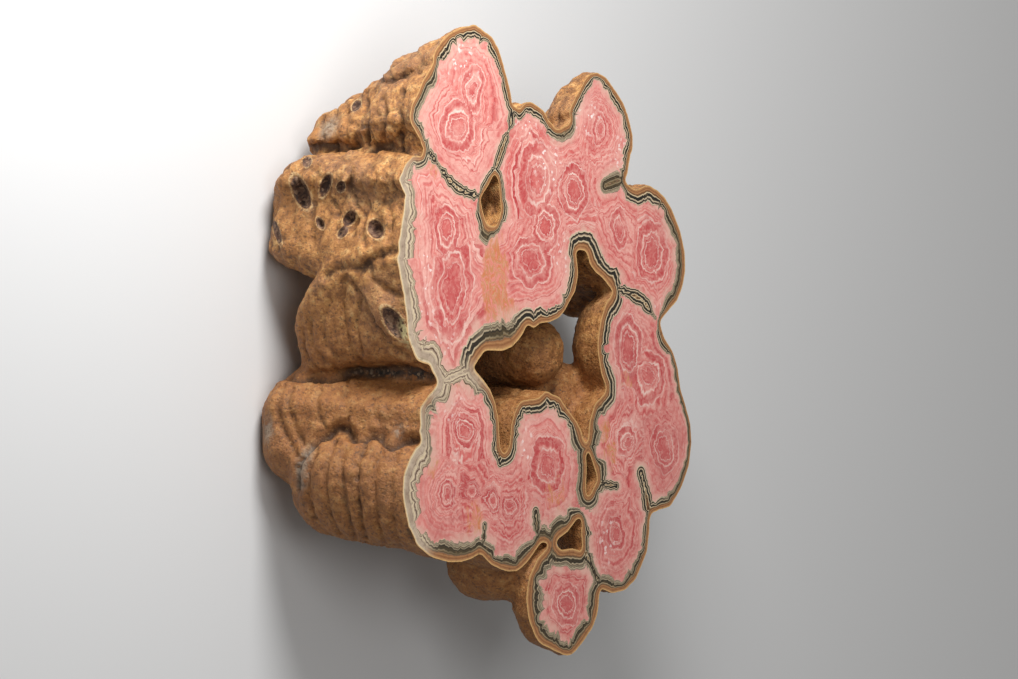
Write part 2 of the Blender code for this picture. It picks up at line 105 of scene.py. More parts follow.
# How knobbly the skin is from the foot up: height, share of the knobs, share of the creases
KNOBBLY = [
    (0, 0.35, 0.0),
    (28, 0.8, 0.0),
    (64, 0.8, 0.05),
    (72, 0.3, 0.05),
    (118, 0.25, 0.1),
    (130, 0.9, 0.6),
    (160, 0.9, 0.9),
    (203, 0.7, 1.0),
]

# Pits of the left side, in the picture's pixels: the middle, half width, half height and lean to
# the right, then how deep each is and how high its rim is, in millimetres
Pit = namedtuple("Pit", "x y half_wide half_high lean deep rim")
PITS = [
    Pit(301.5, 192.5, 8.5, 17.5, -0.35, 1.5, 0.5),
    Pit(325.5, 185.5, 5.5, 12.0, 0.3, 1.3, 0.5),
    Pit(341, 186.5, 4.6, 5.8, 0.1, 1.3, 0.7),
    Pit(307, 162, 4.8, 6.0, 0.1, 1.0, 0.4),
    Pit(320.5, 223.5, 4.2, 6.4, -0.3, 1.2, 0.6),
    Pit(349.5, 218.5, 6.4, 8.2, 0.3, 1.6, 0.5),
    Pit(343, 232, 5.0, 6.0, 0.4, 0.5, 0.2),
    Pit(376, 229.5, 8.2, 9.6, -0.2, 1.7, 0.4),
    Pit(356.5, 106, 5.0, 6.0, 0.3, 0.9, 0.3),
    Pit(277, 232, 3.5, 13.0, -0.3, 0.7, 0.2),
    Pit(394.5, 323, 10.0, 16.5, -0.5, 1.2, 0.5),
]
# Creases and valleys of the left side, in the picture's pixels: half width, how deep in
# millimetres, and points from end to end
GROOVES = [
    (4.5, 2.6, [(297, 488), (296, 471), (301, 458), (309, 448), (318, 441), (330, 434),
                (339, 428), (347, 429), (351, 436), (356, 440), (364, 439), (373, 436),
                (381, 437), (386, 443), (390, 447), (396, 445), (405, 441), (417, 440)]),
    (5.0, 2.4, [(279, 376), (292, 378), (310, 378), (330, 380), (341, 378), (350, 373),
                (361, 371), (373, 373), (385, 371), (400, 370), (415, 372), (430, 378)]),
    (4.0, 1.6, [(325, 276), (336, 269), (350, 267), (362, 269), (371, 261), (382, 255),
                (396, 250)]),
    (4.0, 1.8, [(303, 152), (312, 148), (330, 147), (350, 149), (372, 150), (383, 147),
                (400, 148), (412, 153), (423, 152)]),
    (3.0, 1.0, [(303, 330), (304, 350), (312, 365), (325, 374)]),
    (3.0, 0.9, [(310, 318), (311, 344), (325, 362), (344, 372)]),
    (3.0, 0.8, [(331, 300), (322, 325), (326, 345), (340, 360)]),
    (3.0, 0.9, [(346, 276), (343, 300), (345, 330), (352, 350), (363, 363)]),
    (2.5, 0.9, [(361, 300), (356, 328), (363, 355)]),
    (3.0, 1.3, [(352, 283), (365, 302), (378, 327), (393, 348), (409, 358)]),
    (3.0, 1.1, [(369, 265), (372, 279), (385, 288), (401, 296)]),
    (3.5, 1.1, [(284, 384), (277, 405), (281, 426), (292, 446), (298, 458)]),
    (3.0, 0.8, [(293, 380), (288, 405), (295, 430), (305, 446)]),
    (3.0, 0.9, [(322, 381), (316, 400), (318, 419), (327, 431)]),
    (3.0, 0.6, [(350, 377), (345, 395), (348, 415), (346, 428)]),
    (3.0, 0.5, [(381, 385), (373, 405), (380, 426)]),
    (2.6, 0.9, [(318, 448), (309, 470), (308, 495), (316, 520)]),
    (2.6, 1.0, [(336, 441), (327, 460), (325, 488), (330, 515), (341, 535)]),
    (2.6, 1.1, [(352, 440), (341, 455), (342, 488), (348, 518), (356, 541)]),
    (2.6, 1.0, [(366, 442), (358, 464), (357, 494), (362, 525), (369, 546)]),
    (2.6, 0.9, [(387, 447), (377, 465), (374, 494), (378, 524), (386, 549)]),
    (2.6, 0.8, [(401, 447), (392, 470), (390, 500), (394, 528), (402, 550)]),
    (2.4, 1.0, [(352, 168), (349, 184), (356, 199), (371, 205)]),
    (2.4, 0.9, [(372, 166), (376, 180), (371, 194), (380, 204), (396, 200)]),
    (2.4, 0.8, [(385, 177), (396, 190), (404, 196)]),
    (2.4, 0.9, [(331, 200), (340, 211), (336, 226), (341, 240)]),
    (2.4, 1.0, [(356, 205), (365, 216), (361, 234), (366, 250)]),
    (2.4, 0.9, [(388, 205), (392, 222), (386, 243)]),
    (2.4, 0.8, [(318, 168), (313, 184), (315, 204), (309, 226)]),
    (2.6, 1.1, [(344, 98), (347, 115), (345, 130), (349, 144)]),
    (2.6, 1.2, [(366, 92), (368, 110), (366, 126), (369, 146)]),
    (2.6, 1.1, [(383, 98), (386, 115), (383, 130), (386, 146)]),
    (2.6, 1.2, [(403, 92), (399, 110), (402, 128), (400, 139), (409, 150)]),
    (2.6, 1.3, [(377, 80), (388, 81), (399, 78), (411, 71)]),
    (2.4, 0.9, [(323, 118), (320, 130), (326, 144)]),
    (2.4, 0.9, [(348, 122), (368, 128), (384, 124), (400, 129), (414, 136)]),
]
GROOVE_STEP = 1.5
GROOVE_POINTS = 1000  # no groove has more points than this
GROOVE_BELOW_FACE = 0.5
GROOVE_REACH = 4  # in half widths
GROOVE_FALL = 1.3
BESIDE = 2.2  # where the skin beside a groove is fullest, in half widths, and how wide and full
BESIDE_WIDTH = 0.9
BESIDE_SHARE = 0.22
GROOVES_LEFT_OF = 0.02  # in metres right of the middle
FULL_SHADE_GROOVE = 3  # a groove this deep gets the fullest painted shade

# How pits are pressed in: the roundness of the floor, and the width of the lip, the reach of the
# shade and the reach of the whole as shares of the pit
PIT_ROUNDNESS = 0.8
LIP_WIDTH = 0.4
PIT_SHADE = 1.5
PIT_NEAR = 2.56

# Grey places where the skin is rubbed
RUBBED = [
    Pit(329, 128, 8.0, 11.0, 0.3, 0.2, 0.0),
    Pit(304, 462, 6.5, 15.0, 0.4, 0.2, 0.0),
    Pit(303, 482, 5.0, 9.0, 0.3, 0.2, 0.0),
    Pit(268, 430, 5.0, 12.0, 0.1, 0.2, 0.0),
    Pit(399, 431, 4.5, 6.0, 0.1, 0.2, 0.0),
]
# A greenish yellow crust beside the broken end, and dark crystals in crevices
CRUST = [
    Pit(405.5, 333, 4.0, 12.0, -0.3, -0.4, 0.0),
]
DARK_CRYSTALS = [
    Pit(413, 116, 3.5, 10.0, -0.2, 0.3, 0.0),
    Pit(417, 535, 8.0, 9.0, -0.5, 0.4, 0.2),
    Pit(385, 373, 34.0, 5.0, 0.0, 0.3, 0.0),
    Pit(418, 375, 16.0, 5.0, 0.0, 0.2, 0.0),
]

# The ring that stands out round each centre of growth: its middle, width and height
CORES = [
    (38.4, 181.5, 6.5, 9.5), (30.1, 169.0, 11.0, 9.6), (24.4, 136.3, 7.8, 9.6),
    (27.0, 118.7, 13.0, 21.4), (71.2, 152.6, 10.9, 14.7), (75.8, 137.9, 8.3, 9.3),
    (68.1, 126.7, 12.5, 9.6), (90.4, 149.1, 8.8, 10.9), (103.9, 169.3, 4.6, 6.4),
    (114.8, 136.6, 5.4, 8.0), (132.0, 129.6, 9.9, 12.8), (119.5, 98.2, 8.8, 14.1),
    (129.4, 89.0, 10.4, 10.2), (118.4, 68.2, 6.0, 6.4), (138.7, 65.9, 8.8, 9.3),
    (112.7, 38.7, 6.0, 6.6), (86.8, 16.3, 9.0, 9.0), (33.8, 72.3, 6.8, 6.7), (24.9, 51.8, 4.9, 4.7),
    (37.4, 53.1, 4.2, 3.8), (47.8, 49.9, 4.2, 3.8), (57.7, 47.7, 5.2, 4.8),
    (76.9, 61.1, 10.9, 11.2),
]

# The width of the rind at places along the rim: from the left edge, from the foot, width
RIND = [
    (38, 202, 5.0), (17, 190, 5.8), (8, 172, 4.6), (14, 160, 4.6), (58, 178, 4.0), (50, 157, 3.2),
    (1, 152, 5.5), (0, 135, 8.0), (0, 120, 8.5), (3, 108, 7.5), (10, 95, 9.5), (24, 88, 8.0),
    (44, 98, 9.0), (53, 102, 11.0), (61, 104, 9.0), (68, 108, 5.5), (84, 109, 4.5), (92, 122, 4.5),
    (68, 178, 4.2),
    (84, 168, 4.6), (102, 188, 3.8), (120, 172, 4.0), (119, 156, 5.0), (132, 150, 5.5),
    (148, 134, 5.0), (145, 115, 5.0), (132, 108, 4.5), (110, 118, 7.5), (98, 126, 7.0),
    (104, 108, 6.0), (106, 90, 6.0), (99, 70, 7.0), (100, 60, 6.5), (134, 107, 3.0),
    (146, 90, 2.6), (152, 70, 2.0), (150, 57, 3.0), (138, 46, 4.5), (96, 45, 4.5),
    (102, 24, 5.0), (118, 20, 5.0), (129, 35, 4.0), (12, 80, 8.0), (5, 62, 8.5), (3, 50, 8.0),
    (9, 36, 6.5), (25, 31, 7.0), (42, 33, 6.0), (57, 27, 5.5), (70, 33, 5.5), (50, 75, 4.4),
    (58, 72, 4.6), (66, 82, 5.0), (88, 78, 5.0), (97, 60, 4.6), (94, 46, 6.5), (76, 37, 6.5),
    (66, 17, 9.5), (75, 2, 7.5), (88, 0, 5.5), (103, 15, 6.5), (90, 34, 7.0), (72, 30, 8.5),
    (50, 140, 4.0), (46, 136, 7.5), (42, 139, 4.0), (42, 148, 3.0), (52, 150, 3.0),
]
RIND_BLEND = 1.0  # how far from a listed place the width starts to change
RIND_NEARNESS = 4  # the higher, the more the nearest place counts
RIM_STEPS = 4  # points for each edge of the mesh along the rim

# Rinds that run inside, where two stalactites met: half width, then points from end to end
SEAMS = [
    (2.2, [(58.5, 177), (57.5, 170), (54, 164), (51, 158.5), (48, 152.8)]),
    (2.2, [(41.6, 147), (36, 147.8), (30, 149.5), (25, 152.5), (16, 160.5)]),
    (2.6, [(20.5, 87.5), (28, 89.5), (37, 92)]),
    (2.6, [(106, 117), (112, 118), (119, 116.5), (127, 114), (134, 108)]),
    (3.0, [(130, 46), (128.5, 52), (126, 58)]),
    (2.0, [(102, 55.5), (107, 54.5), (113, 54)]),
    (2.6, [(73, 34), (71.5, 39), (70.5, 46)]),
    (1.6, [(42.5, 33), (43.5, 38), (44, 42)]),
    (2.2, [(52, 62), (51, 64.5), (49.5, 66.5)]),
    (3.4, [(120, 153.5), (113, 152.5), (107, 151)]),
    (2.0, [(88.5, 169), (85, 167)]),
    (2.6, [(95, 35.5), (98, 31), (103.5, 23)]),
]
SEAM_STEP = 0.3
SEAM_START = 0.3  # seams have only the inner layers of the rind, from this share of it on

# The rings: how they wander broadly and finely, where they start as a share of the centre's own
# ring, and how much the rind's unevenness changes with depth
BROAD_WANDER_WIDTH = 8
BROAD_WANDER = 1.7
FINE_WANDER_WIDTH = 3
FINE_WANDER = 0.6
RINGS_FROM = 0.6
RIND_CHANGE = 0.35

# Soft patches on the sawn face: middle, half width, half height, strength
ORANGE = [
    (49, 120, 8, 17, 1.15), (54, 108, 8, 7, 1.0), (118, 89, 4, 3.5, 0.8), (106.5, 72, 3.5, 5, 0.9),
    (109, 64, 4.5, 6, 0.6), (18, 156, 9, 4, 0.5), (81, 52, 7, 6, 0.4), (38, 44, 9, 7, 0.3),
    (16, 60, 5, 5, 0.5), (24, 88, 14, 3.5, 0.5),
]
DARK_RIND = [
    (146, 125, 12, 24, 0.8), (30, 30, 24, 9, 1.0), (60, 28, 22, 9, 0.8), (78, 38, 14, 9, 0.9),
    (86, 12, 26, 26, 0.7), (148, 70, 12, 45, 0.8), (115, 26, 22, 12, 0.6), (100, 70, 9, 24, 0.5),
    (95, 58, 8, 20, 0.5), (12, 182, 9, 16, 0.5), (53, 101, 12, 8, 0.9), (46, 134, 6, 5, 0.8),
    (110, 152, 10, 5, 0.8), (86, 167, 6, 5, 0.6),
]
# darker, duller mauve patches, the broadest of them across the foot of the cut
MUTED = [
    (70, 25, 95, 42, 0.75), (140, 60, 30, 46, 0.75), (118, 97, 14, 20, 0.8), (87, 16, 16, 16, 0.8),
    (113, 38, 14, 20, 0.5), (138, 138, 10, 9, 0.8), (146, 118, 6, 14, 0.7), (104, 178, 14, 6, 0.6),
    (40, 50, 44, 26, 0.4), (138, 70, 16, 26, 0.4),
]
PALE = [
    (77, 157, 7, 8, 1.0), (97, 174, 7, 7, 1.0), (66, 171, 8, 7, 0.8), (66, 68, 3, 7, 0.8),
    (84, 128, 5, 8, 0.7), (30, 191, 16, 7, 0.7), (20, 100, 10, 6, 0.6), (137, 112, 8, 5, 0.5),
    (115, 160, 5, 9, 0.6), (14, 118, 4, 22, 0.8), (25, 80, 10, 6, 0.5), (108, 37, 5, 10, 0.5),
]
ROSE = [
    (65, 149, 5, 12, 1.0), (96, 146, 6, 10, 0.6), (68, 126, 10, 8, 0.8), (27, 117, 9, 15, 0.8),
    (18, 140, 5, 5, 1.0), (76, 60, 12, 13, 0.7), (110, 134, 9, 9, 0.6), (33, 188, 6, 3, 1.0),
    (26, 163, 9, 5, 0.7), (131, 128, 9, 10, 0.5), (113, 34, 8, 12, 0.6), (58, 44, 8, 10, 0.5),
    (137, 66, 8, 14, 0.5),
]
LAYERED_GREY = [
    (0, 122, 11, 40, 1.2), (12, 96, 13, 12, 1.2), (4, 62, 12, 28, 1.2), (10, 38, 8, 8, 0.7),
    (25, 88, 20, 7, 0.8),
]
PATCH_FALL = 1.2  # how far a patch fades at its half width, and how suddenly
PATCH_SHARPNESS = 1.5

# The view: the point of the sawn face in the middle of the picture, and the way to the camera
AIM = Vector((-17.1, 0.6, 58.5)) * MM
TO_CAMERA = Vector((-0.788, 0.0, 0.616)).normalized()
UPWARD = Vector((0, 1, 0))
RIGHTWARD = UPWARD.cross(TO_CAMERA)
PICTURE = (1018, 679)
PIXEL = 0.32 * MM
LENS = 500.0
SENSOR = 36.0
CAMERA_DISTANCE = PICTURE[0] * PIXEL * LENS / SENSOR
CLIP = (0.1, 50.0)  # in metres

# Each light's name, the way to it, and its distance, size and power in metres and watts
Light = namedtuple("Light", "name way distance size power")
LIGHTS = [
    Light("key", (-0.40, 0.80, 0.55), 0.47, 0.20, 2.8),
    Light("front", (-0.55, 0.1, 0.85), 1.2, 0.6, 3.2),
]
STUDIO_WHITE = (1.0, 0.985, 0.96, 1)
STUDIO_STRENGTH = 0.22
FLOOR_GREY = (0.68, 0.68, 0.68, 1)
FLOOR_SIZE = 8  # in metres

# Colours, as linear red, green and blue: first of the cut, then of the skin
PINK = (0.69, 0.155, 0.137)
LIGHT_PINK = (0.77, 0.265, 0.228)
WHITE_PINK = (0.85, 0.455, 0.385)
ROSE_PINK = (0.50, 0.052, 0.056)
MAUVE = (0.40, 0.105, 0.100)
NEAR_WHITE = (0.92, 0.70, 0.61)
CREAM = (0.74, 0.60, 0.39)
SAND = (0.46, 0.29, 0.14)
# golden brown of the rind's outer edge, brightened as a painted highlight along the rim
GOLD_EDGE_AND_HIGHLIGHT = (0.62, 0.37, 0.14)
BROWN = (0.25, 0.095, 0.032)
LIGHT_BROWN = (0.42, 0.20, 0.08)
DARK_BROWN = (0.06, 0.026, 0.012)
CHARCOAL = (0.014, 0.011, 0.008)
GREY_BEIGE = (0.30, 0.215, 0.15)
PALE_GREY = (0.52, 0.405, 0.30)
OLIVE = (0.10, 0.068, 0.028)
ORANGE_STAIN = (0.62, 0.19, 0.065)
STAIN_SAND = (0.62, 0.36, 0.19)
STAIN_BROWN = (0.55, 0.27, 0.12)
BLUSH = (0.72, 0.45, 0.36)
# white of single crystal grains, and of painted glints on them
WHITE_GRAIN_AND_GLINT = (0.95, 0.88, 0.84)
GOLD_TAN = (0.50, 0.235, 0.068)
PALE_TAN = (0.64, 0.38, 0.145)
TAN = (0.35, 0.145, 0.038)
DEEP_TAN = (0.20, 0.078, 0.020)
ORANGE_TAN = (0.27, 0.098, 0.024)
# brown of the shade painted into hollows, and of dark specks of grain
SHADE_AND_GRAIN_BROWN = (0.060, 0.024, 0.008)
MAUVE_BROWN = (0.27, 0.125, 0.055)
RUBBED_DARK = (0.15, 0.115, 0.085)
RUBBED_LIGHT = (0.30, 0.25, 0.19)
PIT_DARK = (0.035, 0.016, 0.009)
PIT_BROWN = (0.115, 0.050, 0.026)
PIT_LIGHT = (0.24, 0.14, 0.08)
PIT_LIP = (0.56, 0.39, 0.19)
CRUST_YELLOW = (0.66, 0.56, 0.27)
CRYSTAL_BLACK = (0.018, 0.013, 0.010)
CRYSTAL_BROWN = (0.22, 0.15, 0.09)

# How fine the noises of the materials are, in waves for each metre
UNEVEN_SCALE = 300.0
PATCHY_SCALE = 120.0
CLOUD_SCALE = 110.0
SUGAR_SCALE = 1000.0
SPECKLE_SCALE = 620.0
FACET_SCALE = 520.0
GRAINS_SCALE = 1100.0
BROAD_SCALE = 38.0
MOTTLE_SCALE = 330.0


def make_active(thing):
    bpy.ops.object.select_all(action="DESELECT")
    thing.select_set(True)
    bpy.context.view_layer.objects.active = thing


def places_of(thing):
    places = np.empty(len(thing.data.vertices) * 3)
    thing.data.vertices.foreach_get("co", places)
    return places.reshape(-1, 3)


def set_places(thing, places):
    thing.data.vertices.foreach_set("co", places.ravel())
    thing.data.update()


def normals_of(thing):
    normals = np.empty(len(thing.data.vertices) * 3, np.float32)
    thing.data.vertex_normals.foreach_get("vector", normals)
    return normals.reshape(-1, 3).astype(float)


def apply_modifier(thing, kind, **settings):
    modifier = thing.modifiers.new(kind.lower(), kind)
    for name, value in settings.items():
        setattr(modifier, name, value)
    make_active(thing)
    bpy.ops.object.modifier_apply(modifier=modifier.name)


def merged_copy(node):
    copy = node.copy()
    copy.data = node.data.copy()
    copy.name = "rhodochrosite_stalactites"
    copy.data.name = copy.name
    copy.parent = None
    for key in list(copy.keys()):
        del copy[key]
    bpy.context.scene.collection.objects.link(copy)
    make_active(copy)
    bpy.ops.object.mode_set(mode="EDIT")
    bpy.ops.mesh.select_all(action="SELECT")
    bpy.ops.mesh.remove_doubles(threshold=1e-6)
    bpy.ops.mesh.select_all(action="DESELECT")
    bpy.ops.object.mode_set(mode="OBJECT")
    return copy


def carry_past_the_cut(cluster):
    for polygon in cluster.data.polygons:
        polygon.select = polygon.center.z > FACE - CUT_WITHIN * MM
    bpy.ops.object.mode_set(mode="EDIT")
    bpy.ops.mesh.extrude_region_move(TRANSFORM_OT_translate={"value": (0, 0, RAISED * MM)})
    bpy.ops.object.mode_set(mode="OBJECT")


def crease_depth(place):
    """How near a place is to the crease between two lumps: 1 in the crease, 0 on a lump."""
    wander = noise.noise_vector(place / WANDER_WIDTH) * WANDER_SHARE
    cell = Vector(a / b for a, b in zip(place, LUMP_SIZE)) + wander
    distances = noise.voronoi(cell)[0]
    return max(1 - (distances[1] - distances[0]) / CREASE_WIDTH, 0)


def shape_the_skin(cluster):
    """Creases between lumps, knobs, wrinkles and a grain. Returns each point's painted crease
    shade.
    """
    places = places_of(cluster)
    normals = normals_of(cluster)
    painted_shade = np.zeros(len(places))
    rise = np.zeros(len(places))
    steps = np.array(KNOBBLY)
    heights = places[:, 1] / MM + LEFT_AND_FOOT.y
    knobbly = np.interp(heights, steps[:, 0], steps[:, 1])
    creased = np.interp(heights, steps[:, 0], steps[:, 2])
    for number, place in enumerate(places / MM):
        here = Vector(place) + LEFT_AND_FOOT
        crease = crease_depth(here) * creased[number]
        wander = noise.noise_vector(here / KNOB_WANDER_WIDTH) * KNOB_WANDER
        nearest = noise.voronoi(here / KNOB_SIZE + wander)[0][0]
        patchy = 0.5 + 0.9 * noise.noise(here / KNOB_PATCHES)
        knob = KNOB_HEIGHT * (0.3 - nearest**2) * max(patchy, 0.1) * knobbly[number]
        drift = noise.noise_vector(here / WRINKLE_WANDER_WIDTH) * WRINKLE_WANDER
        stretched = Vector(a / b for a, b in zip(here, WRINKLE_SIZE)) + drift
        wrinkle = WRINKLE_HEIGHT * (0.25 - abs(noise.noise(stretched)))
        grain = GRAIN_HEIGHT * noise.fractal(here / GRAIN_SIZE, 0.7, 2.1, 2)
        depth = max((FACE - places[number, 2]) / MM, 0)
        calm = min(CALM_SHARE + (1 - CALM_SHARE) * depth / CALM_NEAR_FACE, 1)
        # painted shade: the deeper a point lies in a crease, a gap between knobs or a wrinkle, the
        # darker
        low = crease * CREASE_SHADE + max(-knob, 0) * GAP_SHADE + max(-wrinkle, 0) * WRINKLE_SHADE
        painted_shade[number] = low * calm
        rise[number] = (knob + wrinkle + grain - LUMP_CREASE * crease**2) * calm
    set_places(cluster, places + normals * rise[:, None] * MM)
    return painted_shade


def camera_place():
    return AIM + TO_CAMERA * CAMERA_DISTANCE


def reach_of(pit, away):
    """How far points lie from the middle of a pit as the picture shows them: 1 is its edge."""
    right = away @ np.array(RIGHTWARD) / PIXEL
    up = away @ np.array(UPWARD) / PIXEL
    return np.hypot((right - pit.lean * up) / pit.half_wide, up / pit.half_high)


def skin_tree(cluster):
    return BVHTree.FromPolygons(
        [vertex.co for vertex in cluster.data.vertices],
        [polygon.vertices for polygon in cluster.data.polygons],
    )


def seen_at(tree, x, y):
    """Where the line from the camera through a pixel meets the skin, and which way it faces."""
    right, up = x - PICTURE[0] / 2, PICTURE[1] / 2 - y
    seen = AIM + (RIGHTWARD * right + UPWARD * up) * PIXEL
    spot, normal, _, _ = tree.ray_cast(camera_place(), (seen - camera_place()).normalized())
    return spot, normal


def groove_shape(distance):
    """How deep a groove is so many half widths from its line. Beside it the skin is fuller."""
    crease = math.exp(-(distance**GROOVE_FALL))
    beside = math.exp(-(((distance - BESIDE) / BESIDE_WIDTH) ** 2))
    return crease - BESIDE_SHARE * beside


def cut_grooves(cluster):
    """Grooves along lines that the picture shows. Returns each point's painted shade, from how deep
    in one it lies.
    """
    places = places_of(cluster)
    normals = normals_of(cluster)
    tree = skin_tree(cluster)
    deepening = np.zeros(len(places))
    for half_wide, deep, points in GROOVES:
        corners = [Vector(point) for point in points]
        line = kdtree.KDTree(GROOVE_POINTS)
        count = 0
        for start, stop in zip(corners, corners[1:]):
            steps = max(round((stop - start).length / GROOVE_STEP), 1)
            for step in range(steps):
                spot, _ = seen_at(tree, *start.lerp(stop, step / steps))
                if spot is not None and spot.z < FACE - GROOVE_BELOW_FACE * MM:
                    line.insert(spot, count)
                    count += 1
        if count == 0:
            continue
        line.balance()
        wide = half_wide * PIXEL
        low = np.array([min(c.y for c in corners), max(c.y for c in corners)])
        heights = AIM.y + (PICTURE[1] / 2 - low[::-1]) * PIXEL
        margin = (GROOVE_REACH + 1) * wide
        near = (places[:, 1] > heights[0] - margin) & (places[:, 1] < heights[1] + margin)
        for number in np.flatnonzero(near & (places[:, 0] < GROOVES_LEFT_OF)):
            distance = line.find(places[number])[2] / wide
            if distance < GROOVE_REACH:
                change = deep * groove_shape(distance)
                deepening[number] = max(deepening[number], change, key=abs)
    set_places(cluster, places - normals * deepening[:, None] * MM)
    # the share of painted shade, 1 at the deepest
    return np.clip(deepening / FULL_SHADE_GROOVE, 0, 1)


def press(cluster, pits):
    """Presses pits into the side that the camera sees. Returns how far inside one points lie."""
    places = places_of(cluster)
    tree = skin_tree(cluster)
    inside = np.zeros(len(places))
    moved = places.copy()
    for pit in pits:
        spot, normal = seen_at(tree, pit.x, pit.y)
        away = places - np.array(spot)
        farthest = PIT_NEAR * max(pit.half_wide, pit.half_high) * PIXEL
        near = np.linalg.norm(away, axis=1) < farthest
        reach = reach_of(pit, away)
        bowl = pit.rim - (pit.deep + pit.rim) * np.clip(1 - reach**2, 0, 1) ** PIT_ROUNDNESS
        rim = pit.rim * np.exp(-(((reach - 1) / LIP_WIDTH) ** 2))
        push = np.where(reach < 1, bowl, rim) * near
        outward = (np.array(normal) + np.array(TO_CAMERA)) / 2
        moved += outward * push[:, None] * MM
        inside = np.maximum(inside, np.clip(PIT_SHADE - reach, 0, 1) * near)
    set_places(cluster, moved)
    return inside


def store(mesh, name, values):
    """A number or a vector for each point of a mesh, under a name that materials read."""
    values = np.asarray(values, np.float32)
    kind, key = ("FLOAT", "value") if values.ndim == 1 else ("FLOAT_VECTOR", "vector")
    attribute = mesh.attributes.get(name) or mesh.attributes.new(name, kind, "POINT")
    attribute.data.foreach_set(key, values.ravel())


def saw_block():
    """A block whose underside is a fine grid, so that the cut has points to carry the rings."""
    low, high = cad_box
    size = (high - low) * SAW_MARGIN
    bpy.ops.mesh.primitive_grid_add(
        x_subdivisions=round(size.x / (FACE_GRID * MM)),
        y_subdivisions=round(size.y / (FACE_GRID * MM)),
        size=1,
        location=(0, 0, FACE),
    )
    block = bpy.context.object
    block.scale = (size.x, size.y, 1)
    bpy.ops.object.transform_apply(location=True, rotation=True, scale=True)
    apply_modifier(block, "SOLIDIFY", thickness=3 * RAISED * MM, offset=1.0)
    return block


def saw(cluster):
    block = saw_block()
    apply_modifier(cluster, "BOOLEAN", operation="DIFFERENCE", object=block, solver="MANIFOLD")
    bpy.data.objects.remove(block, do_unlink=True)


def on_face(places):
    return places[:, 2] > FACE - LEVEL_WITHIN * MM


def rim_points(cluster, places):
    """Points close together along the edge of the sawn face, and which faces lie in it."""
    mesh = cluster.data
    level = on_face(places)
    flat = np.zeros(len(mesh.polygons), bool)
    edge_faces = {}
    for polygon in mesh.polygons:
        flat[polygon.index] = all(level[v] for v in polygon.vertices)
        for key in polygon.edge_keys:
            edge_faces.setdefault(key, []).append(polygon.index)
    ends = [key for key, faces in edge_faces.items() if len({bool(flat[f]) for f in faces}) == 2]
    along = np.linspace(0, 1, RIM_STEPS, endpoint=False)[:, None, None]
    starts = places[[a for a, _ in ends], :2] / MM
    stops = places[[b for _, b in ends], :2] / MM
    return (starts + (stops - starts) * along).reshape(-1, 2), flat


def seam_points():
    """Points close together along the inner rinds, and the half width at each."""
    points, widths = [], []
    for half_width, corners in SEAMS:
        for start, stop in zip(corners, corners[1:]):
            steps = max(int(math.dist(start, stop) / SEAM_STEP), 1)
            for step in range(steps + 1):
                share = step / steps
                points.append([a + (b - a) * share for a, b in zip(start, stop)])
                widths.append(half_width)
    return np.array(points) - CORNER, np.array(widths)


def nearest_of(points, targets):
    """For each point, which target is the nearest and how far away it is."""
    tree = kdtree.KDTree(len(targets))
    for number, (x, y) in enumerate(targets):
        tree.insert((x, y, 0), number)
    tree.balance()
    found = [tree.find((x, y, 0)) for x, y in points]
    return np.array([item[1] for item in found]), np.array([item[2] for item in found])


def rind_width(points):
    """The rind's width at points, from the listed places near them."""
    listed = np.array(RIND)
    spots = listed[:, :2] - CORNER
    away = np.linalg.norm(points[:, None] - spots, axis=2)
    weights = 1 / (away + RIND_BLEND) ** RIND_NEARNESS
    return (weights * listed[:, 2]).sum(axis=1) / weights.sum(axis=1)


def patch_mask(points, patches):
    """How strongly a kind of soft patch covers each point."""
    mask = np.zeros(len(points))
    for x, y, half_wide, half_high, strength in patches:
        away = (points - (np.array((x, y)) - CORNER)) / (half_wide, half_high)
        soft = np.exp(-PATCH_FALL * (away**2).sum(axis=1) ** PATCH_SHARPNESS)
        mask = np.maximum(mask, strength * soft)
    return mask


def wandered(points):
    """The points moved a little to and fro, so that the rings round a centre are uneven."""
    moved = points.copy()
    for number, (x, y) in enumerate(points):
        place = Vector((x, y, 0))
        broad = noise.noise_vector(place / BROAD_WANDER_WIDTH) * BROAD_WANDER
        fine = noise.noise_vector(place / FINE_WANDER_WIDTH) * FINE_WANDER
        moved[number] += (broad + fine)[:2]
    return moved


def core_fields(points):
    """For each point: its distance from the nearest centre of growth, as millimetres and as a
    share of that centre's ring, and the direction from the centre with the centre's number."""
    best = np.full(len(points), np.inf)
    share = np.zeros(len(points))
    spoke = np.zeros((len(points), 3))
    for number, (x, y, wide, high) in enumerate(CORES):
        arms = (points - (np.array((x, y)) - CORNER)) / (wide / 2, high / 2)
        reach = np.linalg.norm(arms, axis=1)
        size = math.sqrt(wide * high) / 2
        distance = (reach - RINGS_FROM) * size
        closer = distance < best
        best = np.where(closer, distance, best)
        share = np.where(closer, reach, share)
        turn = arms / np.maximum(reach, 1e-6)[:, None]
        ahead = np.column_stack([turn, np.full(len(points), float(number))])
        spoke = np.where(closer[:, None], ahead, spoke)
    return best, share, spoke


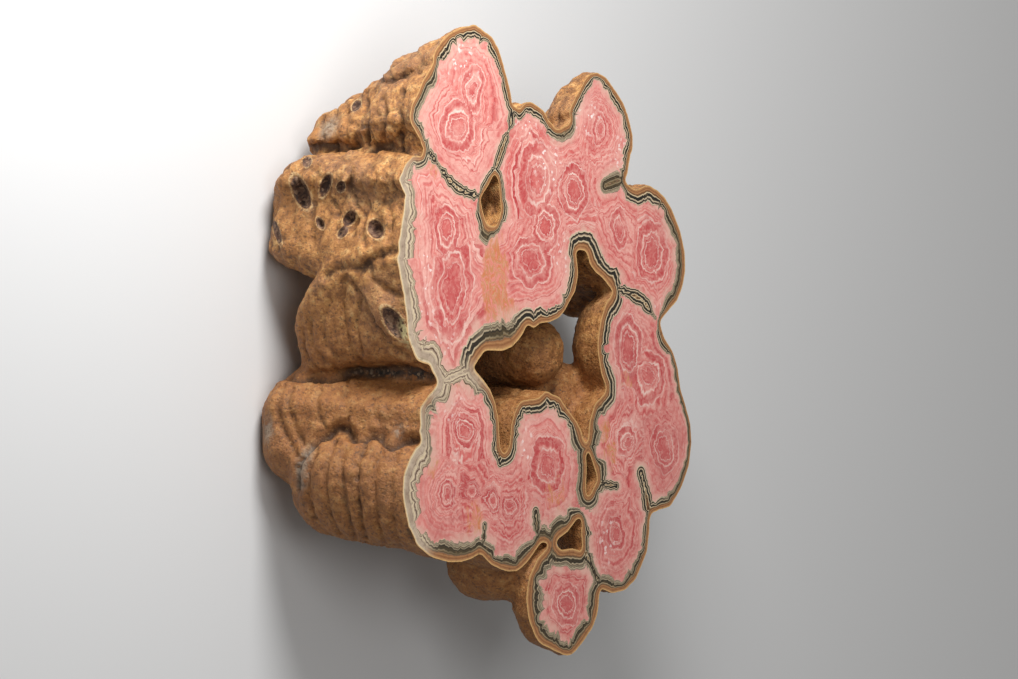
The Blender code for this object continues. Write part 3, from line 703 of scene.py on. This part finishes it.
def mark_the_face(cluster):
    """Stores where each point of the cut lies between the centres and the rim."""
    places = places_of(cluster)
    rim, flat = rim_points(cluster, places)
    level = on_face(places)
    points = places[level][:, :2] / MM
    number, distance = nearest_of(points, rim)
    width = rind_width(rim)[number]
    foot = rim[number]
    share = distance / width
    seams, half_widths = seam_points()
    number, distance = nearest_of(points, seams)
    seam_share = distance / half_widths[number] * (1 - SEAM_START) + SEAM_START
    inner = seam_share < share
    foot[inner] = seams[number][inner]
    share[inner] = seam_share[inner]
    width[inner] = half_widths[number][inner]
    from_core, core_share, spoke = core_fields(wandered(points))
    to_rind = np.maximum(share - 1, 0) * width
    ring = np.clip(from_core, 0, None) / (np.clip(from_core, 0, None) + to_rind + 1e-3)
    mesh = cluster.data

    def spread(values, rest=0.0):
        whole = np.full((len(places),) + values.shape[1:], rest)
        whole[level] = values
        return whole

    store(mesh, "rind_share", spread(share, rest=0.02))
    store(mesh, "ring", spread(ring, rest=1.0))
    store(mesh, "core_share", spread(core_share, rest=9.0))
    store(mesh, "spoke", spread(spoke))
    store(mesh, "foot", spread(np.column_stack([foot, share * RIND_CHANGE])))
    for name, patches in (
        ("orange", ORANGE),
        ("pale", PALE),
        ("rose", ROSE),
        ("layered", LAYERED_GREY),
        ("dark_rind", DARK_RIND),
        ("muted", MUTED),
    ):
        store(mesh, name, spread(patch_mask(points, patches)))
    mesh.materials.clear()
    mesh.materials.append(skin_material())
    mesh.materials.append(face_material())
    mesh.polygons.foreach_set("material_index", flat.astype(np.int32))


def build_cluster():
    cluster = merged_copy(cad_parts["rhodochrosite_cluster"])
    carry_past_the_cut(cluster)
    apply_modifier(cluster, "REMESH", mode="VOXEL", voxel_size=FINE_GRAIN * MM)
    apply_modifier(cluster, "SMOOTH", factor=0.5, iterations=SMOOTHING_ROUNDS)
    groove_shade = cut_grooves(cluster)
    # painted shade of creases, gaps, wrinkles and grooves, which darkens the skin's colour
    store(cluster.data, "painted_crease_shade", shape_the_skin(cluster) + groove_shade)
    store(cluster.data, "pit", press(cluster, PITS))
    store(cluster.data, "rubbed", press(cluster, RUBBED))
    store(cluster.data, "crust", press(cluster, CRUST))
    store(cluster.data, "dark_crystals", press(cluster, DARK_CRYSTALS))
    places = places_of(cluster)
    places[:, 2] = np.where(places[:, 2] < FLAT_BELOW * MM, 0, places[:, 2])
    set_places(cluster, places)
    thin = SIDE_TRIANGLES / (2 * sum(places[:, 2] < FACE))
    apply_modifier(cluster, "DECIMATE", ratio=thin)
    saw(cluster)
    mark_the_face(cluster)
    cluster.data.shade_smooth()
    make_active(cluster)
    bpy.ops.object.shade_smooth_by_angle(angle=math.radians(SHARP_FROM))
    return cluster


class Graph:
    """Makes the nodes of one material or group, each with its inputs given as values or links."""

    def __init__(self, tree):
        self.tree = tree

    def node(self, kind, inputs=(), **settings):
        made = self.tree.nodes.new(kind)
        for name, value in settings.items():
            setattr(made, name, value)
        for key, value in dict(inputs).items():
            self.put(made.inputs[key], value)
        return made

    def put(self, socket, value):
        if isinstance(value, bpy.types.NodeSocket):
            self.tree.links.new(value, socket)
        elif value is not None:
            socket.default_value = value

    def math(self, operation, a, b=None, c=None, clamp=False):
        inputs = {0: a, 1: b, 2: c}
        made = self.node("ShaderNodeMath", inputs, operation=operation, use_clamp=clamp)
        return made.outputs[0]

    def vector(self, operation, a, b=None):
        made = self.node("ShaderNodeVectorMath", {0: a, 1: b}, operation=operation)
        return made.outputs["Vector"]

    def scaled(self, vector, by):
        made = self.node("ShaderNodeVectorMath", {"Vector": vector}, operation="SCALE")
        self.put(made.inputs["Scale"], by)
        return made.outputs["Vector"]

    def attribute(self, name, output="Fac"):
        made = self.node("ShaderNodeAttribute", attribute_name=name)
        return made.outputs[output]

    def noise(self, vector, scale, detail=2.0, roughness=0.5, distortion=0.0):
        made = self.node(
            "ShaderNodeTexNoise",
            {"Vector": vector, "Scale": scale, "Detail": detail, "Roughness": roughness},
        )
        made.inputs["Distortion"].default_value = distortion
        return made.outputs["Fac"]

    def bands(self, place, scale, detail=1.0):
        """Noise along one line, for rings and layers."""
        made = self.node("ShaderNodeTexNoise", noise_dimensions="1D")
        self.put(made.inputs["W"], place)
        self.put(made.inputs["Scale"], scale)
        made.inputs["Detail"].default_value = detail
        return made.outputs["Fac"]

    def grains(self, place, scale):
        """A shade of its own for each small crystal grain."""
        inputs = {"Place": place, "Scale": scale}
        made = self.node("ShaderNodeGroup", inputs, node_tree=grain_group())
        return made.outputs["Shade"]

    def ridges(self, value):
        """Turns smooth noise into waves with sharp crests: 0 on a crest."""
        return self.math("ABSOLUTE", self.math("MULTIPLY_ADD", value, 2.0, -1.0))

    def span(self, value, low, high, to_low=0.0, to_high=1.0, smooth=True):
        """Carries a value from one range over to another, and keeps it within that."""
        made = self.node(
            "ShaderNodeMapRange",
            {"Value": value, "From Min": low, "From Max": high},
            interpolation_type="SMOOTHSTEP" if smooth else "LINEAR",
        )
        self.put(made.inputs["To Min"], to_low)
        self.put(made.inputs["To Max"], to_high)
        return made.outputs["Result"]

    def ramp(self, place, stops):
        made = self.node("ShaderNodeValToRGB", {"Fac": place})
        band = made.color_ramp
        while len(band.elements) < len(stops):
            band.elements.new(0.5)
        for element, (position, colour) in zip(band.elements, stops):
            element.position = position
            element.color = (*colour, 1.0)
        return made.outputs["Color"]

    def mix(self, share, a, b):
        made = self.node("ShaderNodeMix", data_type="RGBA")
        made.clamp_factor = True
        self.put(made.inputs["Factor"], share)
        for socket, value in ((made.inputs[6], a), (made.inputs[7], b)):
            if isinstance(value, tuple):
                value = (*value, 1.0)
            self.put(socket, value)
        return made.outputs[2]

    def tint(self, colour, towards, value, low, high, strength):
        """Moves a colour towards another as a value goes from low to high."""
        return self.mix(self.span(value, low, high, 0.0, strength), colour, towards)


def grain_group():
    """The node group with the small crystal grains, which both materials use."""
    group = bpy.data.node_groups.get("crystal_grains")
    if group is not None:
        return group
    group = bpy.data.node_groups.new("crystal_grains", "ShaderNodeTree")
    group.interface.new_socket("Place", in_out="INPUT", socket_type="NodeSocketVector")
    group.interface.new_socket("Scale", in_out="INPUT", socket_type="NodeSocketFloat")
    group.interface.new_socket("Shade", in_out="OUTPUT", socket_type="NodeSocketFloat")
    graph = Graph(group)
    given = graph.node("NodeGroupInput").outputs
    cells = graph.node("ShaderNodeTexVoronoi", {"Vector": given["Place"], "Scale": given["Scale"]})
    shades = graph.node("ShaderNodeSeparateColor", {0: cells.outputs["Color"]})
    graph.node("NodeGroupOutput", {"Shade": shades.outputs[0]})
    return group


def new_material(name, roughness):
    material = bpy.data.materials.new(name)
    material.use_nodes = True
    tree = material.node_tree
    surface = tree.nodes["Principled BSDF"]
    surface.inputs["Roughness"].default_value = roughness
    return material, Graph(tree), surface


def pink_rings(graph, ring, core_share, spoke, here):
    """The pink of the cut: zigzag rings round each centre, from its own ring out to the rind."""
    outward = graph.node("ShaderNodeCombineXYZ", {2: graph.math("MULTIPLY", ring, 1.1)}).outputs[0]
    coarse_spot = graph.vector("ADD", graph.scaled(spoke, 1.6), outward)
    coarse = graph.ridges(graph.noise(coarse_spot, 1.0, 0.0))
    middle_spot = graph.vector("ADD", graph.scaled(spoke, 3.8), outward)
    middling = graph.ridges(graph.noise(middle_spot, 1.0, 0.0))
    fine_spot = graph.vector("ADD", graph.scaled(spoke, 9.0), outward)
    fine = graph.ridges(graph.noise(fine_spot, 1.0, 1.0))
    uneven = graph.noise(here, UNEVEN_SCALE, 2.0, 0.5)
    jag = graph.math("MULTIPLY_ADD", coarse, 0.17, graph.math("MULTIPLY", middling, 0.10))
    jag = graph.math("MULTIPLY_ADD", fine, 0.035, jag)
    jag = graph.math("MULTIPLY_ADD", uneven, 0.07, jag)
    jagged = graph.math("MULTIPLY_ADD", jag, graph.span(ring, 0.0, 0.3, 0.4, 1.0), ring)
    number = graph.node("ShaderNodeSeparateXYZ", {0: spoke}).outputs[2]
    own = graph.math("MULTIPLY_ADD", number, 3.7, jagged)
    broad = graph.bands(own, 4.6, 1.0)
    colour = graph.ramp(
        broad,
        [
            (0.30, ROSE_PINK),
            (0.40, PINK),
            (0.49, LIGHT_PINK),
            (0.58, WHITE_PINK),
            (0.66, LIGHT_PINK),
            (0.74, PINK),
        ],
    )
    patchy = graph.noise(here, PATCHY_SCALE, 2.0, 0.5)
    thin = graph.bands(own, 15.0, 1.0)
    colour = graph.tint(colour, WHITE_PINK, thin, 0.54, 0.66, 0.65)
    colour = graph.tint(colour, ROSE_PINK, thin, 0.46, 0.34, 0.6)
    line = graph.math("ABSOLUTE", graph.math("SUBTRACT", graph.bands(own, 8.0, 0.0), 0.5))
    often = graph.span(patchy, 0.4, 0.6, 0.2, 0.8)
    lined = graph.math("MULTIPLY", graph.span(line, 0.022, 0.0), often)
    colour = graph.mix(lined, colour, NEAR_WHITE)
    around = graph.math("MULTIPLY_ADD", jag, 2.0, graph.math("SUBTRACT", core_share, 0.26))
    heart = graph.span(around, 0.9, 0.2, 0.0, 0.75)
    colour = graph.mix(heart, colour, PINK)
    seldom = graph.span(patchy, 0.4, 0.6, 0.2, 0.6)
    deep_heart = graph.math("MULTIPLY", graph.span(around, 1.0, 0.7), seldom)
    colour = graph.mix(deep_heart, colour, ROSE_PINK)
    inner = graph.math("ABSOLUTE", graph.math("SUBTRACT", around, 0.5))
    colour = graph.tint(colour, ROSE_PINK, inner, 0.14, 0.03, 0.55)
    halo = graph.math("ABSOLUTE", graph.math("SUBTRACT", around, 1.36))
    broken = graph.span(patchy, 0.35, 0.6, 0.15, 0.8)
    halo = graph.math("MULTIPLY", graph.span(halo, 0.34, 0.1), broken)
    colour = graph.mix(halo, colour, ROSE_PINK)
    for at, half_wide, strength in ((1.0, 0.085, 1.0), (0.60, 0.06, 0.8), (1.66, 0.07, 0.7)):
        ring_line = graph.math("ABSOLUTE", graph.math("SUBTRACT", around, at))
        line_share = graph.span(ring_line, half_wide, half_wide / 4, 0.0, strength)
        line_share = graph.math("MULTIPLY", line_share, graph.span(patchy, 0.32, 0.5, 0.35, 1.0))
        colour = graph.mix(line_share, colour, NEAR_WHITE)
    return colour


def rind_colour(graph, here, foot, share, cloud):
    """The layers of the rind from its outer edge in, and how far in each point lies."""
    edge = graph.ridges(graph.noise(foot, 0.17, 0.0))
    fine_edge = graph.ridges(graph.noise(foot, 0.50, 0.0))
    tall = graph.noise(graph.vector("ADD", foot, (31.0, 7.0, 0.0)), 0.12, 0.0)
    sway = graph.math("MULTIPLY_ADD", fine_edge, 0.24, graph.math("MULTIPLY", edge, 0.75))
    sway = graph.math("MULTIPLY", sway, graph.span(tall, 0.35, 0.65, 0.45, 1.3))
    grown = graph.math("MULTIPLY", sway, graph.span(share, 0.12, 0.60))
    layer = graph.math("ADD", share, grown)
    slide = graph.noise(foot, 0.08, 1.0)
    slip = graph.math("MULTIPLY_ADD", slide, 0.3, -0.15)
    banding = graph.math("MULTIPLY_ADD", slip, graph.span(layer, 0.2, 0.5), layer)
    banded = graph.ramp(
        banding,
        [
            # the outermost band: the golden skin, brightened as a painted highlight along the rim
            (0.00, GOLD_EDGE_AND_HIGHLIGHT),
            (0.09, LIGHT_BROWN),
            (0.18, BROWN),
            (0.26, LIGHT_BROWN),
            (0.33, BROWN),
            (0.39, DARK_BROWN),
            (0.44, SAND),
            (0.49, CREAM),
            (0.54, CHARCOAL),
            (0.72, CHARCOAL),
            (0.77, CREAM),
            (0.82, GREY_BEIGE),
            (0.87, CHARCOAL),
            (0.93, CHARCOAL),
            (0.97, CREAM),
            (1.00, PALE_GREY),
        ],
    )
    dark = graph.ramp(
        graph.bands(banding, 5.0, 2.0),
        [(0.34, CHARCOAL), (0.46, OLIVE), (0.54, CHARCOAL), (0.60, CREAM), (0.64, CHARCOAL)],
    )
    outer = graph.span(banding, 0.30, 0.42)
    dark_share = graph.math("MULTIPLY", graph.attribute("dark_rind"), outer)
    banded = graph.mix(graph.math("MULTIPLY", dark_share, 0.9), banded, dark)
    hazy = graph.math("MULTIPLY_ADD", cloud, 0.16, layer)
    grey = graph.ramp(
        graph.bands(hazy, 7.0, 2.0),
        [
            (0.32, DARK_BROWN),
            (0.40, GREY_BEIGE),
            (0.50, PALE_GREY),
            (0.58, CREAM),
            (0.62, OLIVE),
            (0.68, DARK_BROWN),
        ],
    )
    outer_grey = graph.ramp(cloud, [(0.38, GREY_BEIGE), (0.60, PALE_GREY)])
    grey = graph.tint(grey, outer_grey, share, 0.50, 0.30, 0.85)
    grey = graph.tint(grey, CREAM, share, 0.17, 0.06, 0.9)
    layered = graph.math("MULTIPLY", graph.attribute("layered"), 1.5, clamp=True)
    rind = graph.mix(layered, banded, grey)
    rind = graph.tint(rind, PALE_TAN, share, 0.07, 0.03, 0.8)
    speckle = graph.noise(here, SPECKLE_SCALE, 3.0, 0.65)
    rind = graph.tint(rind, SAND, speckle, 0.56, 0.72, 0.22)
    rind = graph.tint(rind, DARK_BROWN, speckle, 0.46, 0.30, 0.35)
    return rind, layer, speckle


def face_material():
    material, graph, surface = new_material("sawn_rhodochrosite", 0.32)
    ring = graph.attribute("ring")
    core_share = graph.attribute("core_share")
    spoke = graph.attribute("spoke", "Vector")
    foot = graph.attribute("foot", "Vector")
    share = graph.attribute("rind_share")
    here = graph.node("ShaderNodeTexCoord").outputs["Object"]
    colour = pink_rings(graph, ring, core_share, spoke, here)

    cloud = graph.noise(here, CLOUD_SCALE, 5.0, 0.62)
    sugar = graph.noise(here, SUGAR_SCALE, 3.0, 0.7)
    colour = graph.tint(colour, LIGHT_PINK, ring, 0.78, 1.0, 0.45)
    rose = graph.math("MULTIPLY", graph.attribute("rose"), graph.span(cloud, 0.38, 0.6, 0.15, 0.7))
    colour = graph.mix(rose, colour, ROSE_PINK)
    pale = graph.math("MULTIPLY", graph.attribute("pale"), graph.span(cloud, 0.35, 0.6, 0.25, 0.8))
    colour = graph.mix(pale, colour, WHITE_PINK)
    colour = graph.tint(colour, WHITE_PINK, cloud, 0.55, 0.72, 0.5)
    colour = graph.tint(colour, ROSE_PINK, cloud, 0.46, 0.32, 0.35)
    # darker and duller towards mauve in the muted patches
    dull = graph.span(cloud, 0.3, 0.6, 0.55, 0.25)
    muted = graph.math("MULTIPLY", graph.attribute("muted"), dull)
    colour = graph.mix(muted, colour, MAUVE)
    outward = graph.node("ShaderNodeCombineXYZ", {2: graph.math("MULTIPLY", ring, 6.0)}).outputs[0]
    long_shade = graph.grains(graph.vector("ADD", graph.scaled(spoke, 12.0), outward), 1.0)
    grain_shade = graph.grains(here, GRAINS_SCALE)
    colour = graph.tint(colour, WHITE_PINK, long_shade, 0.5, 1.0, 0.18)
    colour = graph.tint(colour, ROSE_PINK, long_shade, 0.5, 0.0, 0.16)
    facet = graph.grains(here, FACET_SCALE)
    colour = graph.tint(colour, WHITE_PINK, facet, 0.6, 1.0, 0.12)
    colour = graph.tint(colour, ROSE_PINK, facet, 0.4, 0.0, 0.12)
    colour = graph.tint(colour, WHITE_PINK, grain_shade, 0.6, 1.0, 0.24)
    colour = graph.tint(colour, ROSE_PINK, grain_shade, 0.4, 0.0, 0.20)
    # White flecks on single grains of the pale patches: white crystal grains, and painted glints
    white_grain_and_glint = graph.math("MULTIPLY", graph.attribute("pale"), graph.span(grain_shade, 0.88, 0.97))
    colour = graph.mix(white_grain_and_glint, colour, WHITE_GRAIN_AND_GLINT)

    upright = graph.vector("MULTIPLY", here, (260.0, 110.0, 0.0))
    wisps = graph.noise(upright, 1.0, 4.0, 0.6, 1.6)
    stained = graph.ramp(
        wisps,
        [
            (0.32, PINK),
            (0.39, STAIN_SAND),
            (0.44, ORANGE_STAIN),
            (0.49, LIGHT_PINK),
            (0.54, STAIN_BROWN),
            (0.60, ORANGE_STAIN),
            (0.66, LIGHT_PINK),
        ],
    )
    cloudy = graph.math("MULTIPLY_ADD", cloud, 2.2, -1.9)
    loose = graph.math("MULTIPLY_ADD", wisps, 1.6, cloudy)
    stain = graph.math("ADD", loose, graph.attribute("orange"))
    near_stain = graph.span(graph.attribute("orange"), 0.05, 0.25)
    stain = graph.math("MULTIPLY", graph.span(stain, 0.30, 0.66, 0.0, 0.92), near_stain)
    colour = graph.mix(stain, colour, stained)

    rind, layer, speckle = rind_colour(graph, here, foot, share, cloud)
    where = graph.span(layer, 1.0, 1.06)
    blushing = graph.span(cloud, 0.42, 0.6, 0.15, 0.75)
    pale_edge = graph.math("MULTIPLY", graph.span(layer, 1.7, 1.1), blushing)
    colour = graph.mix(pale_edge, colour, BLUSH)
    colour = graph.mix(where, rind, colour)
    graph.put(surface.inputs["Base Color"], colour)

    rough = graph.span(where, 0.0, 1.0, 0.48, 0.28, smooth=False)
    graph.put(surface.inputs["Roughness"], graph.math("MULTIPLY_ADD", sugar, 0.14, rough))
    relief = graph.math("MULTIPLY_ADD", grain_shade, 0.5, graph.math("MULTIPLY", speckle, 1.2))
    relief = graph.math("MULTIPLY", relief, graph.span(where, 1.0, 0.0, 0.25, 1.0))
    bump = graph.node("ShaderNodeBump", {"Height": relief, "Strength": 0.4, "Distance": 0.0003})
    graph.put(surface.inputs["Normal"], bump.outputs[0])
    return material


def skin_material():
    material, graph, surface = new_material("stalactite_skin", 0.62)
    here = graph.node("ShaderNodeTexCoord").outputs["Object"]
    broad = graph.noise(here, BROAD_SCALE, 3.0, 0.55)
    mottle = graph.noise(here, MOTTLE_SCALE, 5.0, 0.65)
    grain = graph.noise(here, GRAINS_SCALE, 4.0, 0.7)
    colour = graph.ramp(
        mottle,
        [(0.36, DEEP_TAN), (0.46, TAN), (0.56, GOLD_TAN), (0.67, PALE_TAN)],
    )
    colour = graph.tint(colour, TAN, broad, 0.48, 0.64, 0.55)
    colour = graph.tint(colour, MAUVE_BROWN, broad, 0.48, 0.36, 0.5)
    height = graph.node("ShaderNodeSeparateXYZ", {0: here}).outputs[1]
    # darker and more orange towards the foot
    lower = graph.span(height, LUMPY_FROM, LUMPY_FROM - ORANGE_WITHIN, 0.0, 0.6)
    colour = graph.mix(lower, colour, ORANGE_TAN)
    # Painted shade: the skin is darkened in creases, gaps between knobs, wrinkles and grooves
    painted_crease_shade = graph.attribute("painted_crease_shade")
    colour = graph.tint(colour, SHADE_AND_GRAIN_BROWN, painted_crease_shade, 0.04, 0.85, 0.92)
    colour = graph.tint(colour, SHADE_AND_GRAIN_BROWN, grain, 0.49, 0.33, 0.8)
    colour = graph.tint(colour, PALE_TAN, grain, 0.57, 0.72, 0.5)
    chip = graph.grains(here, GRAINS_SCALE)
    rubbed = graph.math("MULTIPLY", graph.attribute("rubbed"), graph.span(mottle, 0.35, 0.5))
    rubbed_colour = graph.ramp(chip, [(0.2, RUBBED_DARK), (0.6, RUBBED_LIGHT)])
    colour = graph.mix(graph.math("MULTIPLY", rubbed, 0.7), colour, rubbed_colour)
    pit = graph.math("SUBTRACT", graph.attribute("pit"), 0.25)
    pit = graph.math("MULTIPLY_ADD", mottle, 0.5, pit)
    floor_colour = graph.ramp(chip, [(0.0, PIT_DARK), (0.6, PIT_BROWN), (0.95, PIT_LIGHT)])
    lip = graph.math("ABSOLUTE", graph.math("SUBTRACT", pit, 0.42))
    worn = graph.span(grain, 0.42, 0.6, 0.1, 0.8)
    lip = graph.math("MULTIPLY", graph.span(lip, 0.15, 0.03), worn)
    colour = graph.mix(lip, colour, PIT_LIP)
    colour = graph.mix(graph.span(pit, 0.50, 0.62), colour, floor_colour)
    crust = graph.math("MULTIPLY", graph.attribute("crust"), graph.span(chip, 0.15, 0.5))
    colour = graph.mix(crust, colour, CRUST_YELLOW)
    dark = graph.math("MULTIPLY", graph.attribute("dark_crystals"), graph.span(mottle, 0.40, 0.5))
    crystals = graph.ramp(chip, [(0.80, CRYSTAL_BLACK), (0.95, CRYSTAL_BROWN)])
    colour = graph.mix(dark, colour, crystals)
    graph.put(surface.inputs["Base Color"], colour)
    graph.put(surface.inputs["Roughness"], graph.span(grain, 0.3, 0.7, 0.46, 0.76))
    relief = graph.math("MULTIPLY_ADD", mottle, 1.6, grain)
    relief = graph.math("MULTIPLY_ADD", chip, graph.math("MULTIPLY", pit, 0.8, clamp=True), relief)
    bump = graph.node("ShaderNodeBump", {"Height": relief, "Strength": 0.8, "Distance": 0.0006})
    graph.put(surface.inputs["Normal"], bump.outputs[0])
    return material


def build_floor():
    bpy.ops.mesh.primitive_plane_add(size=FLOOR_SIZE, location=(0, 0, 0))
    floor = bpy.context.object
    floor.name = "floor"
    material, _, surface = new_material("pale_floor", 0.8)
    surface.inputs["Base Color"].default_value = FLOOR_GREY
    floor.data.materials.append(material)


def soft_light(light):
    data = bpy.data.lights.new(light.name, "AREA")
    data.shape = "DISK"
    data.size = light.size
    data.energy = light.power
    lamp = bpy.data.objects.new(light.name, data)
    bpy.context.scene.collection.objects.link(lamp)
    direction = Vector(light.way).normalized()
    lamp.location = direction * light.distance
    lamp.rotation_mode = "QUATERNION"
    lamp.rotation_quaternion = direction.to_track_quat("Z", "Y")


def light_the_scene():
    world = bpy.data.worlds.new("studio")
    bpy.context.scene.world = world
    world.use_nodes = True
    background = world.node_tree.nodes["Background"]
    background.inputs["Color"].default_value = STUDIO_WHITE
    background.inputs["Strength"].default_value = STUDIO_STRENGTH
    for light in LIGHTS:
        soft_light(light)


def place_camera():
    data = bpy.data.cameras.new("camera")
    camera = bpy.data.objects.new("camera", data)
    bpy.context.scene.collection.objects.link(camera)
    data.lens = LENS
    data.sensor_width = SENSOR
    turned = Matrix((RIGHTWARD, UPWARD, TO_CAMERA)).transposed().to_4x4()
    turned.translation = camera_place()
    camera.matrix_world = turned
    data.clip_start, data.clip_end = CLIP
    bpy.context.scene.camera = camera
    bpy.context.scene.view_settings.view_transform = "Standard"


def main():
    noise.seed_set(SKIN_SEED)
    place_camera()
    light_the_scene()
    build_floor()
    cluster = build_cluster()
    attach(cluster, "root")
    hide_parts("rhodochrosite_cluster")


main()
